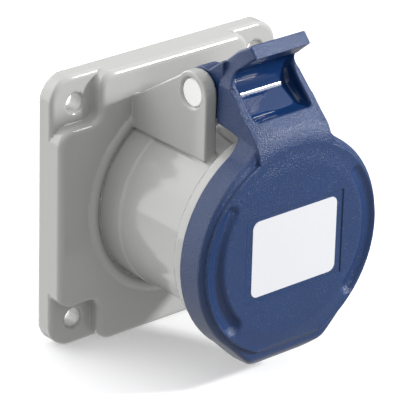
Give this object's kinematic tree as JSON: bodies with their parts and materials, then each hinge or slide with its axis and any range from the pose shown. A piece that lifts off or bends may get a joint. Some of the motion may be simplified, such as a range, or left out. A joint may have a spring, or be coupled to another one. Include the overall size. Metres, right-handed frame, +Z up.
{
  "type": "industrial panel socket",
  "caption": "Panel-mounting power socket: square flange, round barrel with pin-and-sleeve contacts, and a sprung hinged lid with a finger lever.",
  "frame": {"origin": "centre of the four fixing holes, on the flange's back face", "axes": "socket axis along Y with the mouth facing -Y, +X to the right seen from the front, +Z up through the lid's hinge"},
  "size_m": [0.075, 0.0692, 0.091],
  "materials": {
    "grey_moulding": "satin",
    "blue_moulding": "satin",
    "label_card": "satin",
    "white_pin": "satin",
    "black_rubber": "matte",
    "spring_steel": "bright",
    "carrier_moulding": "satin",
    "plated_contact": "bright",
    "terminal_brass": "bright",
    "zinc_screw": "bright"
  },
  "bodies": {
    "housing": {"front_housing": "grey_moulding", "hinge_pin": "white_pin", "flange_gasket": "black_rubber", "carrier_seal": "black_rubber", "lid_spring": "spring_steel", "carrier_ring": "carrier_moulding", "insulator_earth": "carrier_moulding", "insulator_line": "carrier_moulding", "insulator_neutral": "carrier_moulding", "terminal_holder": "carrier_moulding", "contact_retainer": "carrier_moulding", "contact_earth": "plated_contact", "contact_line": "plated_contact", "contact_neutral": "plated_contact", "ring_earth": "spring_steel", "ring_line": "spring_steel", "ring_neutral": "spring_steel", "terminal_earth": "terminal_brass", "terminal_line": "terminal_brass", "terminal_neutral": "terminal_brass", "carrier_screws": "zinc_screw", "retainer_screws": "zinc_screw", "clamp_screws": "zinc_screw"},
    "lid": {"lid": "blue_moulding", "label_plate": "label_card", "lid_gasket": "black_rubber"}
  },
  "joints": [
    {"name": "lid_hinge", "type": "hinge", "parent": "housing", "child": "lid", "pos_m": [0, -0.032, 0.0378], "axis": [-1, 0, 0], "range_deg": [0, 110], "stiffness_Nm_per_rad": 0.05, "springref_deg": -85.94, "deforming": ["lid_spring"]}
  ]
}
